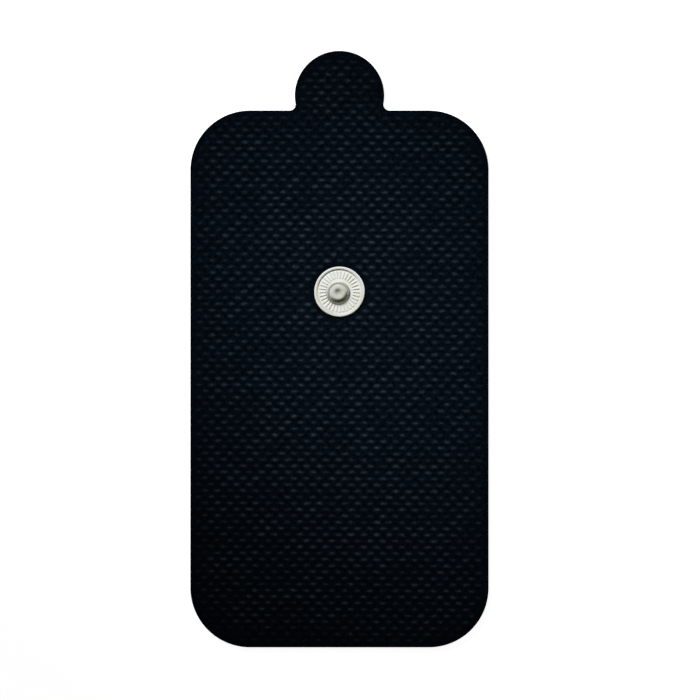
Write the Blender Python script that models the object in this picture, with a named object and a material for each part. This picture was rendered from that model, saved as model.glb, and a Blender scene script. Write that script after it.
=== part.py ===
"""Snap-fastened TENS electrode pad, lying flat with its gel side down.

The pad is a laminate. An embossed backing cloth and a carbon film share one die-cut outline with a
pull tab, and a sheet of hydrogel covers the film's underside, short of the tab. A stamped snap
stud sits on the cloth. A hollow eyelet comes up through film and cloth, and its end is flared
inside the stud's head. A thin disc covers the eyelet's back, so that the current spreads through
the film and not straight down from the metal.

Origin: on the resting surface, at the middle of the overall outline. +Y runs to the tab, +Z is up.
"""

import math

import bmesh
import bpy
from mathutils import Vector, geometry

MM = 0.001

# Outline of the pad
BODY_WIDTH = 50.0 * MM
BODY_LENGTH = 90.0 * MM
CORNER_RADIUS = 10.0 * MM
TAB_RADIUS = 7.5 * MM
TAB_CENTRE_OUT = 2.5 * MM  # from the body's top edge to the centre of the tab's circle
TAB_ROOT_RADIUS = 1.0 * MM  # hollow corners where the tab leaves the body

# Layers
GEL_THICKNESS = 0.90 * MM
GEL_INSET = 0.30 * MM  # the gel stops this far inside the cut edge
FILM_THICKNESS = 0.15 * MM
CLOTH_THICKNESS = 0.40 * MM  # at the ground between the raised spots
BOND_GAP = 0.05 * MM  # glue line between two layers

# Raised spots of the cloth, in rows that are each shifted by half a pitch
SPOT_HEIGHT = 0.12 * MM
SPOT_PITCH = 2.1365 * MM  # from spot to spot in a row
ROW_PITCH = 1.0425 * MM
PATTERN_TURN = math.radians(-0.32)  # the die sits slightly askew on the roll
PATTERN_SIDE = 0.05 * MM  # one spot's peak, from the pad's centre line
PATTERN_FROM_TOP = 29.40 * MM  # the same spot's peak, from the body's top edge
PATTERN_MARGIN = 0.35 * MM  # plain cloth left inside the cut edge

# Snap stud, stamped from one sheet
SNAP_FROM_TOP = 30.40 * MM  # snap's axis, from the body's top edge
STUD_SHEET = 0.20 * MM
FLANGE_RADIUS = 4.25 * MM
RIM_WIDTH = 0.75 * MM
RIM_HEIGHT = 0.42 * MM
RIM_EDGE_HEIGHT = 0.18 * MM  # where the rim is widest, above the cloth
LAND_WIDTH = 0.45 * MM  # plain ring between the neck's foot and the ribs
RIB_COUNT = 32
RIB_HEIGHT = 0.09 * MM
RIB_RAMP = 0.10 * MM  # run-out at both ends of a rib
HEAD_RADIUS = 1.75 * MM
HEAD_HEIGHT = 2.05 * MM
HEAD_ROUNDING = 0.85 * MM
NECK_UNDERCUT = 0.25 * MM  # how much narrower the neck is than the head, on each side
NECK_FOOT = 0.30 * MM  # fillet where the neck leaves the flange
DIMPLE_RADIUS = 0.60 * MM
DIMPLE_DEPTH = 0.18 * MM
DIMPLE_WALL = 0.15 * MM

# Eyelet that rivets the stud
EYELET_SHEET = 0.20 * MM
EYELET_FLANGE_RADIUS = 3.60 * MM
POST_CLEARANCE = 0.15 * MM  # between the post and the inside of the neck
FLARE_CLEARANCE = 0.10 * MM  # between the flared end and the inside of the head
POST_MOUTH = 0.25 * MM  # rounding of the bore at the back

# Insulating disc over the eyelet's back
DISC_THICKNESS = 0.12 * MM
DISC_OVERLAP = 1.05 * MM  # how far the disc's rim reaches out on the film
DISC_STEP = 0.25 * MM  # width of the step round the eyelet's flange

# Fits
CLAMP_GAP = 0.05 * MM  # between faces that the rivet presses together
FIT_CLEARANCE = 0.10 * MM  # sideways, between a piece and the hole or hollow it sits in
SEAT_PRESS = 0.08 * MM  # how far the stud's flange presses the cloth in
SEAT_MARGIN = 0.15 * MM  # pressed cloth outside the flange
SEAT_RAMP = 0.20 * MM

# Fineness of the round shapes
CORNER_STEPS = 10
TAB_STEPS = 22
ROOT_STEPS = 3
RING_STEPS = 32
HEAD_STEPS = 6
FILLET_STEPS = 4
SMOOTH_ANGLE = 30.0  # degrees; a sharper edge stays an edge

# Heights of the layers, from the resting surface up
FILM_BOTTOM = GEL_THICKNESS + BOND_GAP
FILM_TOP = FILM_BOTTOM + FILM_THICKNESS
CLOTH_BOTTOM = FILM_TOP + BOND_GAP
CLOTH_GROUND = CLOTH_BOTTOM + CLOTH_THICKNESS
SEAT_TOP = CLOTH_GROUND - SEAT_PRESS
STUD_BASE = SEAT_TOP + CLAMP_GAP

# Places along the pad
OVERALL_LENGTH = BODY_LENGTH + TAB_CENTRE_OUT + TAB_RADIUS
BODY_BOTTOM = -OVERALL_LENGTH / 2
BODY_TOP = BODY_BOTTOM + BODY_LENGTH
TAB_CENTRE = BODY_TOP + TAB_CENTRE_OUT
SNAP_AXIS = BODY_TOP - SNAP_FROM_TOP

# Radii shared by the stud, the eyelet and the holes
NECK_RADIUS = HEAD_RADIUS - NECK_UNDERCUT
NECK_BORE = NECK_RADIUS - STUD_SHEET
POST_RADIUS = NECK_BORE - POST_CLEARANCE
POST_BORE = POST_RADIUS - EYELET_SHEET
HOLE_RADIUS = POST_RADIUS + FIT_CLEARANCE
SEAT_RADIUS = FLANGE_RADIUS + SEAT_MARGIN
HEAD_ROUND_CENTRE = HEAD_RADIUS - HEAD_ROUNDING
HEAD_WAIST = HEAD_HEIGHT - HEAD_ROUNDING  # height of the head's widest ring
HOLLOW_ROUNDING = HEAD_ROUNDING - STUD_SHEET
DISC_STEP_START = EYELET_FLANGE_RADIUS + FIT_CLEARANCE
DISC_RADIUS = DISC_STEP_START + DISC_STEP + DISC_OVERLAP


def arc(centre, radius, start, end, steps):
    """Points of an arc, from angle start to angle end in degrees, both ends included."""
    turns = [math.radians(start + (end - start) * k / steps) for k in range(steps + 1)]
    return [(centre[0] + radius * math.cos(t), centre[1] + radius * math.sin(t)) for t in turns]


def body_corner(inset, right, top):
    """One rounded corner of the body's outline, drawn counterclockwise."""
    radius = CORNER_RADIUS - inset
    x = BODY_WIDTH / 2 - CORNER_RADIUS
    y = BODY_TOP - CORNER_RADIUS if top else BODY_BOTTOM + CORNER_RADIUS
    start = {(True, False): -90, (True, True): 0, (False, True): 90, (False, False): 180}[right, top]
    return arc((x if right else -x, y), radius, start, start + 90, CORNER_STEPS)


def tab_outline():
    """The tab's circle with a hollow corner at each root, from right to left over the top."""
    reach = TAB_RADIUS + TAB_ROOT_RADIUS
    rise = TAB_CENTRE_OUT - TAB_ROOT_RADIUS
    side = math.sqrt(reach**2 - rise**2)
    lean = math.degrees(math.asin(rise / reach))
    roots = (side, BODY_TOP + TAB_ROOT_RADIUS)
    right = arc(roots, TAB_ROOT_RADIUS, 270, 180 - lean, ROOT_STEPS)
    left = [(-x, y) for x, y in reversed(right)]
    over = arc((0.0, TAB_CENTRE), TAB_RADIUS, -lean, 180 + lean, TAB_STEPS)
    return right + over[1:-1] + left


def body_outline(inset):
    """The body without its tab, inset from the cut edge."""
    corners = ((True, False), (True, True), (False, True), (False, False))
    return [point for corner in corners for point in body_corner(inset, *corner)]


def pad_outline():
    """The whole die-cut outline, counterclockwise from the lower right corner."""
    lower_right = body_corner(0.0, True, False)
    upper_right = body_corner(0.0, True, True)
    upper_left = body_corner(0.0, False, True)
    lower_left = body_corner(0.0, False, False)
    return lower_right + upper_right + tab_outline() + upper_left + lower_left


def snap_circle(radius):
    """A circle round the snap's axis."""
    return arc((0.0, SNAP_AXIS), radius, 0, 360, RING_STEPS)[:-1]


def loop_edges(first, count):
    """Index pairs that close a run of points into a loop."""
    return [(first + k, first + (k + 1) % count) for k in range(count)]


def add_loop(bm, points, height):
    """Points of a flat loop at one height."""
    return [bm.verts.new((x, y, height)) for x, y in points]


def fill_flat(bm, loops):
    """Fill the flat area inside the first loop and outside the others."""
    edges = []
    for loop in loops:
        for k, vertex in enumerate(loop):
            following = loop[(k + 1) % len(loop)]
            edges.append(bm.edges.get((vertex, following)) or bm.edges.new((vertex, following)))
    bmesh.ops.triangle_fill(bm, use_beauty=True, edges=edges)


def join_rings(bm, one, other):
    """Faces between two closed rings. One may be a single point, or have half as many points."""
    steps = max(len(one), len(other))
    for k in range(steps):
        corners = []
        for ring, order in ((one, (k, k + 1)), (other, (k + 1, k))):
            corners += [ring[(step * len(ring) // steps) % len(ring)] for step in order]
        face = [v for n, v in enumerate(corners) if v is not corners[n - 1]]
        bm.faces.new(face)


def finish_object(name, bm, material, height, parent=None):
    """Turn a closed bmesh into a named object at its height, with outward faces."""
    bmesh.ops.recalc_face_normals(bm, faces=bm.faces)
    mesh = bpy.data.meshes.new(name)
    bm.to_mesh(mesh)
    bm.free()
    mesh.materials.append(material)
    mesh.shade_smooth()
    mesh.set_sharp_from_angle(angle=math.radians(SMOOTH_ANGLE))
    thing = bpy.data.objects.new(name, mesh)
    bpy.context.collection.objects.link(thing)
    thing.location.z = height
    thing.parent = parent
    return thing


def finish_material(name, colour, roughness, metallic=0.0, alpha=1.0):
    """A Principled material; the colour is linear RGB."""
    material = bpy.data.materials.new(name)
    material.use_nodes = True
    shader = material.node_tree.nodes["Principled BSDF"]
    shader.inputs["Base Color"].default_value = (*colour, 1.0)
    shader.inputs["Roughness"].default_value = roughness
    shader.inputs["Metallic"].default_value = metallic
    shader.inputs["Alpha"].default_value = alpha
    return material


def depth_inside(x, y):
    """How deep a point lies inside the outline of body and tab, negative outside it."""
    half_width = BODY_WIDTH / 2 - CORNER_RADIUS
    half_length = BODY_LENGTH / 2 - CORNER_RADIUS
    across = abs(x) - half_width
    along = abs(y - (BODY_TOP + BODY_BOTTOM) / 2) - half_length
    outside = math.hypot(max(across, 0.0), max(along, 0.0)) + min(max(across, along), 0.0)
    in_body = CORNER_RADIUS - outside
    in_tab = TAB_RADIUS - math.hypot(x, y - TAB_CENTRE)
    return max(in_body, in_tab)


def pattern_point(half_pitches, row):
    """A point of the pattern, counted in half pitches and rows from the named spot."""
    along = half_pitches * SPOT_PITCH / 2
    across = row * ROW_PITCH
    cos, sin = math.cos(PATTERN_TURN), math.sin(PATTERN_TURN)
    x = PATTERN_SIDE + along * cos - across * sin
    y = BODY_TOP - PATTERN_FROM_TOP + along * sin + across * cos
    return x, y


def is_open_cloth(x, y):
    """Whether the pattern may reach this point: inside the margin and clear of the snap's seat."""
    from_snap = math.hypot(x, y - SNAP_AXIS)
    return depth_inside(x, y) > PATTERN_MARGIN and from_snap > SEAT_RADIUS + SEAT_RAMP


def spot_tiles():
    """Each spot's peak and its four ground corners, as pattern counts.

    The corners are the middles of the gaps left, above, right and below, which neighbouring
    spots share.
    """
    reach = math.hypot(BODY_WIDTH, OVERALL_LENGTH)
    most_halves = int(2 * reach / SPOT_PITCH)
    most_rows = int(reach / ROW_PITCH)
    tiles = []
    for row in range(-most_rows, most_rows + 1):
        for half in range(-most_halves, most_halves + 1):
            if (half + row) % 2:
                continue
            corners = ((half - 1, row), (half, row + 1), (half + 1, row), (half, row - 1))
            if all(is_open_cloth(*pattern_point(*corner)) for corner in corners):
                tiles.append(((half, row), corners))
    return tiles


def cloth_top():
    """Points, their heights and the edges to keep, for the cloth's upper face.

    Each spot is a low pyramid, from its peak down to the ground at its four corners.
    """
    ground = CLOTH_THICKNESS
    points = pad_outline()
    edges = loop_edges(0, len(points))
    heights = [ground] * len(points)
    pressed = ground - SEAT_PRESS
    rings = ((HOLE_RADIUS, pressed), (SEAT_RADIUS, pressed), (SEAT_RADIUS + SEAT_RAMP, ground))
    for radius, height in rings:
        edges += loop_edges(len(points), RING_STEPS)
        points += snap_circle(radius)
        heights += [height] * RING_STEPS
    ground_points = {}
    for peak, corners in spot_tiles():
        for corner in corners:
            if corner not in ground_points:
                ground_points[corner] = len(points)
                points.append(pattern_point(*corner))
                heights.append(ground)
        around = [ground_points[corner] for corner in corners]
        edges += [(around[k], around[(k + 1) % len(around)]) for k in range(len(around))]
        points.append(pattern_point(*peak))
        heights.append(ground + SPOT_HEIGHT)
    unique_edges = sorted({tuple(sorted(edge)) for edge in edges})
    return points, heights, unique_edges


def make_backing_cloth(material):
    """The embossed cloth, with the stud's pressed seat and the hole for the eyelet's post."""
    points, heights, edges = cloth_top()
    inside_constraints = 1
    tolerance = 1e-9
    corners, _, triangles, origins, _, _ = geometry.delaunay_2d_cdt(
        [Vector(p) for p in points], edges, [], inside_constraints, tolerance
    )
    bm = bmesh.new()
    top = [bm.verts.new((*p, heights[given[0]])) for p, given in zip(corners, origins)]
    where = {given: top[k] for k, source in enumerate(origins) for given in source}
    for triangle in triangles:
        middle = sum((corners[k] for k in triangle), Vector((0.0, 0.0))) / len(triangle)
        if (middle - Vector((0.0, SNAP_AXIS))).length > HOLE_RADIUS:
            bm.faces.new([top[k] for k in triangle])
    cut = [where[k] for k in range(len(pad_outline()))]
    hole = [where[len(cut) + k] for k in range(RING_STEPS)]
    lower_cut = add_loop(bm, pad_outline(), 0.0)
    lower_hole = add_loop(bm, snap_circle(HOLE_RADIUS), 0.0)
    join_rings(bm, lower_cut, cut)
    join_rings(bm, lower_hole, hole)
    fill_flat(bm, (lower_cut, lower_hole))
    return finish_object("backing_cloth", bm, material, CLOTH_BOTTOM)


def make_conductive_film(material):
    """The carbon film behind cloth and tab, with the hole for the eyelet's post."""
    bm = bmesh.new()
    lower = [add_loop(bm, pad_outline(), 0.0), add_loop(bm, snap_circle(HOLE_RADIUS), 0.0)]
    upper = [
        add_loop(bm, pad_outline(), FILM_THICKNESS),
        add_loop(bm, snap_circle(HOLE_RADIUS), FILM_THICKNESS),
    ]
    for below, above in zip(lower, upper):
        join_rings(bm, below, above)
    fill_flat(bm, lower)
    fill_flat(bm, upper)
    return finish_object("conductive_film", bm, material, FILM_BOTTOM)


def disc_profile():
    """The disc's upper face, from its middle out: over the eyelet's flange, then on the film."""
    over_flange = -CLAMP_GAP - EYELET_SHEET - CLAMP_GAP
    on_film = -CLAMP_GAP
    return [
        (0.0, over_flange),
        (DISC_STEP_START, over_flange),
        (DISC_STEP_START + DISC_STEP, on_film),
        (DISC_RADIUS, on_film),
    ]


def make_hydrogel(material):
    """The gel sheet, cast with a hollow that the disc fills."""
    bm = bmesh.new()
    lower = add_loop(bm, body_outline(GEL_INSET), 0.0)
    upper = add_loop(bm, body_outline(GEL_INSET), GEL_THICKNESS)
    join_rings(bm, lower, upper)
    fill_flat(bm, (lower,))
    below_disc = FILM_BOTTOM - DISC_THICKNESS - BOND_GAP
    hollow = [(r, below_disc + z) for r, z in disc_profile()[:-1]]
    edge = DISC_RADIUS + FIT_CLEARANCE
    hollow += [(edge, hollow[-1][1]), (edge, GEL_THICKNESS)]
    rings = [[bm.verts.new((0.0, SNAP_AXIS, hollow[0][1]))]]
    rings += [add_loop(bm, snap_circle(r), z) for r, z in hollow[1:]]
    for inner, outer in zip(rings, rings[1:]):
        join_rings(bm, inner, outer)
    fill_flat(bm, (upper, rings[-1]))
    return finish_object("hydrogel", bm, material, 0.0)


def turned(bm, profile, steps):
    """Rings of points for a profile of (radius, height), each turned round Z in so many steps.

    A point on the axis gives a single point. A third value lifts every second point of its ring.
    """
    rings = []
    for radius, height, *lift in profile:
        if radius == 0.0:
            rings.append([bm.verts.new((0.0, 0.0, height))])
            continue
        circle = arc((0.0, 0.0), radius, 0, 360, steps)[:-1]
        lifts = (0.0, lift[0] if lift else 0.0)
        rings.append([bm.verts.new((x, y, height + lifts[k % 2])) for k, (x, y) in enumerate(circle)])
    return rings


def join_all(bm, rings):
    """Faces between each two neighbouring rings."""
    for one, other in zip(rings, rings[1:]):
        join_rings(bm, one, other)


def head_profile():
    """Outside of the head, from the dimple's middle out and down the neck to the flange."""
    dimple_floor = HEAD_HEIGHT - DIMPLE_DEPTH
    waist = (HEAD_ROUND_CENTRE, HEAD_WAIST)
    undercut = -math.degrees(math.acos((NECK_RADIUS - HEAD_ROUND_CENTRE) / HEAD_ROUNDING))
    foot = (NECK_RADIUS + NECK_FOOT, STUD_SHEET + NECK_FOOT)
    dimple = [(0.0, dimple_floor), (DIMPLE_RADIUS - DIMPLE_WALL, dimple_floor)]
    rounding = arc(waist, HEAD_ROUNDING, 90, undercut, HEAD_STEPS)
    fillet = arc(foot, NECK_FOOT, 180, 270, FILLET_STEPS)
    return dimple + [(DIMPLE_RADIUS, HEAD_HEIGHT)] + rounding + fillet


def flange_profile():
    """Upper face of the flange, from the ribs over the rolled rim to the flange's edge."""
    rib_start = NECK_RADIUS + NECK_FOOT + LAND_WIDTH
    rib_end = FLANGE_RADIUS - RIM_WIDTH
    crown = RIM_HEIGHT - RIM_EDGE_HEIGHT
    middle = FLANGE_RADIUS - RIM_WIDTH / 2
    start = 180 - math.degrees(math.asin((STUD_SHEET - RIM_EDGE_HEIGHT) / crown))
    half_round = arc((0.0, 0.0), 1.0, start, 0, HEAD_STEPS)
    rim = [(middle + x * RIM_WIDTH / 2, RIM_EDGE_HEIGHT + y * crown) for x, y in half_round]
    ribs = [
        (rib_start, STUD_SHEET),
        (rib_start + RIB_RAMP, STUD_SHEET, RIB_HEIGHT),
        (rib_end - RIB_RAMP, STUD_SHEET, RIB_HEIGHT),
    ]
    return ribs + rim


def hollow_profile():
    """Underside of the stud, from the flange's edge in to the neck's bore and up into the head."""
    undercut = (NECK_BORE - HEAD_ROUND_CENTRE) / HOLLOW_ROUNDING
    start = -math.degrees(math.acos(max(-1.0, min(1.0, undercut))))
    waist = (HEAD_ROUND_CENTRE, HEAD_WAIST)
    mouth = STUD_SHEET + NECK_FOOT
    top = HEAD_HEIGHT - STUD_SHEET
    dimple_edge = DIMPLE_RADIUS + STUD_SHEET / 2
    dimple_floor = top - DIMPLE_DEPTH
    bore = arc((NECK_BORE + mouth, mouth), mouth, 270, 180, FILLET_STEPS)
    rounding = arc(waist, HOLLOW_ROUNDING, start, 90, HEAD_STEPS)
    dimple = [(dimple_edge, top), (dimple_edge - DIMPLE_WALL, dimple_floor), (0.0, dimple_floor)]
    return [(FLANGE_RADIUS - RIM_EDGE_HEIGHT, 0.0)] + bore + rounding + dimple


def make_snap_stud(material, parent):
    """The stud: a ribbed flange with a rolled rim and a hollow, undercut head, all one sheet."""
    bm = bmesh.new()
    outside = turned(bm, head_profile() + flange_profile(), 2 * RIB_COUNT)
    inside = turned(bm, hollow_profile(), RING_STEPS)
    join_all(bm, outside + inside)
    return finish_object("snap_stud", bm, material, STUD_BASE, parent)


def hollow_shoulder(radius):
    """Height inside the head, above the stud's base, where its lower wall has this radius."""
    return HEAD_WAIST - math.sqrt(HOLLOW_ROUNDING**2 - (radius - HEAD_ROUND_CENTRE) ** 2)


def flare_profile(base):
    """The post's end, turned out over the top of the neck's bore and up along the head's wall.

    The points run from the post's outside over the lip to its bore.
    """
    lip = HEAD_ROUND_CENTRE + HOLLOW_ROUNDING - FLARE_CLEARANCE
    over_bore = base + hollow_shoulder(NECK_BORE) + CLAMP_GAP
    under_lip = base + hollow_shoulder(lip) + CLAMP_GAP
    return [
        (POST_RADIUS, over_bore),
        (NECK_BORE, over_bore),
        (lip, under_lip),
        (lip, under_lip + EYELET_SHEET / 2),
        (lip - EYELET_SHEET / 2, under_lip + EYELET_SHEET),
        (NECK_BORE - EYELET_SHEET / 2, over_bore + EYELET_SHEET),
        (POST_BORE, over_bore),
    ]


def make_snap_eyelet(material, parent):
    """The eyelet: a flange behind the film and a hollow post that is flared inside the head."""
    bm = bmesh.new()
    bottom = FILM_BOTTOM - CLAMP_GAP - EYELET_SHEET
    flange = [
        (EYELET_FLANGE_RADIUS, 0.0),
        (EYELET_FLANGE_RADIUS, EYELET_SHEET),
        (POST_RADIUS, EYELET_SHEET),
    ]
    mouth = arc((POST_BORE + POST_MOUTH, POST_MOUTH), POST_MOUTH, 180, 270, FILLET_STEPS)
    rings = turned(bm, flange + flare_profile(STUD_BASE - bottom) + mouth, RING_STEPS)
    join_all(bm, rings + rings[:1])
    return finish_object("snap_eyelet", bm, material, bottom, parent)


def make_insulating_disc(material, parent):
    """The thin disc on the eyelet's back, stepped down over the eyelet's flange."""
    bm = bmesh.new()
    upper = disc_profile()
    lower = [(r, z - DISC_THICKNESS) for r, z in reversed(upper)]
    join_all(bm, turned(bm, upper + lower, RING_STEPS))
    return finish_object("insulating_disc", bm, material, FILM_BOTTOM, parent)


def main():
    for thing in list(bpy.data.objects):
        bpy.data.objects.remove(thing, do_unlink=True)
    snap_axis = bpy.data.objects.new("snap_axis", None)
    bpy.context.collection.objects.link(snap_axis)
    snap_axis.location = (0.0, SNAP_AXIS, 0.0)

    make_backing_cloth(finish_material("black_nonwoven", (0.004, 0.006, 0.009), 0.9))
    make_conductive_film(finish_material("carbon_film", (0.012, 0.012, 0.013), 0.55))
    make_hydrogel(finish_material("hydrogel", (0.78, 0.80, 0.76), 0.15, alpha=0.6))
    make_snap_stud(finish_material("nickel_plate", (0.74, 0.73, 0.69), 0.3, 1.0), snap_axis)
    make_snap_eyelet(finish_material("nickel_plate_back", (0.70, 0.69, 0.66), 0.35, 1.0), snap_axis)
    make_insulating_disc(finish_material("white_vinyl", (0.80, 0.80, 0.78), 0.45), snap_axis)


main()
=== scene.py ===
"""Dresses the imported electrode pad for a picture.

The pad lies on its skin side. X runs across it, Y along it towards the pull tab, and Z up.
Shapes are worked out in millimetres on numpy grids and become metres when a mesh is made.
"""

import math

import bmesh
import bpy
import numpy as np
from bpy.props import FloatProperty, FloatVectorProperty, PointerProperty
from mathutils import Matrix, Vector


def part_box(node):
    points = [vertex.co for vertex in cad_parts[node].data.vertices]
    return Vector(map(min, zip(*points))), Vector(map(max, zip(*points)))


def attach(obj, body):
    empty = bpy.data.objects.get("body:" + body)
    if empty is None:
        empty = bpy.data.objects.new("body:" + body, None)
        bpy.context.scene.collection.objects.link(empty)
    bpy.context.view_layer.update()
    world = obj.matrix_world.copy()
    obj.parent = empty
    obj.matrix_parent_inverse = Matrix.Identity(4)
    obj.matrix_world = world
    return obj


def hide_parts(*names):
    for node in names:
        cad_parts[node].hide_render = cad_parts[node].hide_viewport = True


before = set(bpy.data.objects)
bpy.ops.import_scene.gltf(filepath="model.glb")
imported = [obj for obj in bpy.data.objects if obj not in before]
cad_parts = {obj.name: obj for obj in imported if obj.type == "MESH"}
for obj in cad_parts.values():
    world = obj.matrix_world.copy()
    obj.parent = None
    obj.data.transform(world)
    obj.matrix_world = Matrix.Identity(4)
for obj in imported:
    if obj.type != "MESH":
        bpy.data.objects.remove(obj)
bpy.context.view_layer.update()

bl_info = {
    "name": "Electrode Pad Dresser",
    "version": (1, 0, 0),
    "blender": (4, 5, 0),
    "location": "3D View > Sidebar > Electrode Pad",
    "description": "Makes the fine cloth, film, gel and snap of an electrode pad round its packed solids",
    "category": "Object",
}

MM = 0.001
BODY = "root"


def box_mm(node):
    """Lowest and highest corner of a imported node, in millimetres."""
    low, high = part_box(node)
    return np.array(low) / MM, np.array(high) / MM


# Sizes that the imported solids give, in millimetres
CLOTH_LOW, CLOTH_HIGH = box_mm("backing_cloth")
FILM_LOW, FILM_HIGH = box_mm("conductive_film")
GEL_LOW, GEL_HIGH = box_mm("hydrogel")
STUD_LOW, STUD_HIGH = box_mm("snap_stud")
EYELET_LOW, EYELET_HIGH = box_mm("snap_eyelet")
DISC_LOW, DISC_HIGH = box_mm("insulating_disc")
HALF_WIDTH = (CLOTH_HIGH[0] - CLOTH_LOW[0]) / 2
BODY_BOTTOM = CLOTH_LOW[1]
TAB_TOP = CLOTH_HIGH[1]
SNAP_X, SNAP_Y = (STUD_LOW[:2] + STUD_HIGH[:2]) / 2
FLANGE_RADIUS = (STUD_HIGH[0] - STUD_LOW[0]) / 2
STUD_BASE = STUD_LOW[2]
STUD_HEIGHT = STUD_HIGH[2] - STUD_LOW[2]

# Sizes of the die-cut outline
CORNER_RADIUS = 10.0
TAB_RADIUS = 7.5
TAB_CENTRE_OUT = 2.5  # from the body's top edge out to the tab's centre
ROOT_RADIUS = 1.0  # hollow corners where the tab leaves the body
TAB_CENTRE_Y = TAB_TOP - TAB_RADIUS
BODY_TOP = TAB_CENTRE_Y - TAB_CENTRE_OUT
ROOT_Y = BODY_TOP + ROOT_RADIUS
ROOT_X = math.sqrt((TAB_RADIUS + ROOT_RADIUS) ** 2 - (TAB_CENTRE_Y - ROOT_Y) ** 2)

# Sizes of the embossing
SPOT_PITCH = 2.1365  # along a row
ROW_PITCH = 1.0425  # from row to row, each shifted by half a pitch
PATTERN_TURN = math.radians(-0.32)
PATTERN_X = 0.05
PATTERN_Y = BODY_TOP - 29.40
SPOT_ROOM = 0.12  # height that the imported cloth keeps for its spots
GRID_COLUMNS = (0.0, 0.28, 0.5, 0.72)  # the mesh's lines, in half spot pitches
GRID_ROWS = (0.0, 0.165, 0.36, 0.64, 0.835)  # and in row pitches, closer together on a spot
GRID_REACH = 1.3 * TAB_TOP  # from the pattern's peak, past the cloth's far corners

# Sizes of the cloth's cut edge, its seat under the flange, and the hole for the rivet's post
EDGE_BAND = 0.50  # width of the die-pressed band round the cloth
EDGE_SLOPE = 1.6  # width over which the cloth comes down to its edge
# From the band's top down: the reach out from the grid's rim, and the share of the edge's height
CUT_EDGE = ((0.28, 0.99), (0.42, 0.95), (0.48, 0.87), (0.50, 0.74), (0.50, 0.10), (0.47, 0.0))
SEAT_EDGE = FLANGE_RADIUS + 0.10
SEAT_SLOPE = 0.7
NAP_EDGE = ((0.7, 1.3, 0.42), (1.3, 4.5, 0.38), (6.0, 20.0, 0.20))  # from depth, to depth, and the rise
NAP_SEAT = (FLANGE_RADIUS + 0.2, FLANGE_RADIUS + 1.4)
NAP_LOW = 0.3  # share of the edge's height below which the cloth has no nap
POST_HOLE = 1.25

# Rounding of the layers' edges
FILM_ROUNDING = 0.05
GEL_ROUNDING = 0.30
EDGE_RINGS = 13
CORNER_STEPS = 36
SHARP_ANGLE = math.radians(40)  # beyond which an edge is shaded sharp

# Sizes of the hollow in the gel, which the insulating disc fills
BOND_GAP = 0.05  # between two faces that are glued
FIT_CLEARANCE = 0.10  # sideways round a piece
DISC_STEP = 0.25  # width of the disc's step round the eyelet's flange
DISC_RADIUS = (DISC_HIGH[0] - DISC_LOW[0]) / 2
EYELET_RADIUS = (EYELET_HIGH[0] - EYELET_LOW[0]) / 2
DISC_THICKNESS = EYELET_LOW[2] - BOND_GAP - DISC_LOW[2]

# Sizes of the stud
HEAD_RADIUS = 1.75
HEAD_ROUNDING = 0.85
NECK_RADIUS = 1.50
NECK_FOOT = 0.30
FOOT_FILLET = 0.45  # the fillet in the look, run out on the land
STUD_SHEET = 0.20
LAND_WIDTH = 0.30
RIM_WIDTH = 0.66
RIM_ROUND = 0.24  # from the rim's crest to its outer edge
RIM_HEIGHT = 0.32
RIM_EDGE_HEIGHT = 0.18
RIB_COUNT = 32
RIB_STEPS = 12  # the mesh's, across a rib's pitch
RIB_RAMP = 0.30  # over which a rib runs out at each end
DIMPLE_RADIUS = 0.60
DIMPLE_DEPTH = 0.18
DIMPLE_EDGE = 1.4 * DIMPLE_RADIUS  # where the dimple runs out
HEAD_LEAN = (-0.20, -0.16)  # how far the head stands off the flange's axis in the look, across and along

# How dull the plate is, from 0, bright, to 1, which also darkens its colour as painted shade
RIB_DULL_AND_SHADE = 0.25  # between the ribs
# The dimple and the head's top are darkened as painted shade, for the dark that they mirror
DIMPLE_DULL_AND_SHADE = 0.58
HEAD_DULL_AND_SHADE = 0.40
HEAD_SHADE_START = 0.20  # from the axis
HEAD_SHADE_RISE = (STUD_HEIGHT - 1.1 * HEAD_ROUNDING, STUD_HEIGHT - 0.4 * HEAD_ROUNDING)
RIM_DULL_AND_SHADE = 0.22  # inside the rim's crest
RIM_SHADE_RISE = 0.15  # width of its inner slope
RIM_SHADE_FALL = 0.10  # and of its outer one
SHADE_WIDTH = 0.22  # of the ring of painted shade under the head's edge, the head's painted shadow
SHADE_SHIFT = (0.10, -0.15)  # of that ring, against the head
SHADE_TOP = 1.0  # its greatest height over the stud's base

# The stage, in metres. A card has its direction from the pad, the distance and height of its foot and
# its head, and half its width
KEY_PLACE = (-0.30, 0.42, 0.62)
KEY_AIM = (0.007, 0.007, 0.0)
KEY_RADIUS = 0.03
KEY_CONE = math.radians(8.2)
FLOOR_HALF = 3.0
FLOOR_DROP = 0.05 * MM  # below the gel, so that the two faces don't flicker
FLOOR_LIFT = 0.93  # light added to the floor where it is seen, so that it is white
DARK_CARD = ((0.34, -0.94), (0.25, 0.002), (0.16, 0.42), 0.80)
BRIGHT_CARD = ((-0.45, 0.89), (0.35, 0.22), (0.35, 0.58), 0.30)
CARD_GLOW = 1.45
SENSOR_WIDTH = 36.0  # in millimetres
CLIP_START, CLIP_END = 0.01, 20.0


def linear(hex_colour):
    """The sRGB colour RRGGBB as linear red, green and blue."""
    levels = [int(hex_colour[i:i + 2], 16) / 255 for i in (0, 2, 4)]
    return tuple(c / 12.92 if c <= 0.04045 else ((c + 0.055) / 1.055) ** 2.4 for c in levels)


def length_size(name, description, default, low, high):
    """A user's size, in millimetres or as a share."""
    return FloatProperty(name=name, description=description, default=default, min=low, max=high, precision=3)


def stage_length(name, description, default, low, high):
    """A user's length in metres."""
    return FloatProperty(
        name=name, description=description, default=default, min=low, max=high, unit="LENGTH",
    )


def colour_size(name, description, hex_colour):
    """A user's colour, from sRGB hex."""
    return FloatVectorProperty(
        name=name, description=description, default=linear(hex_colour), subtype="COLOR", min=0.0, max=1.0
    )


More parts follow.
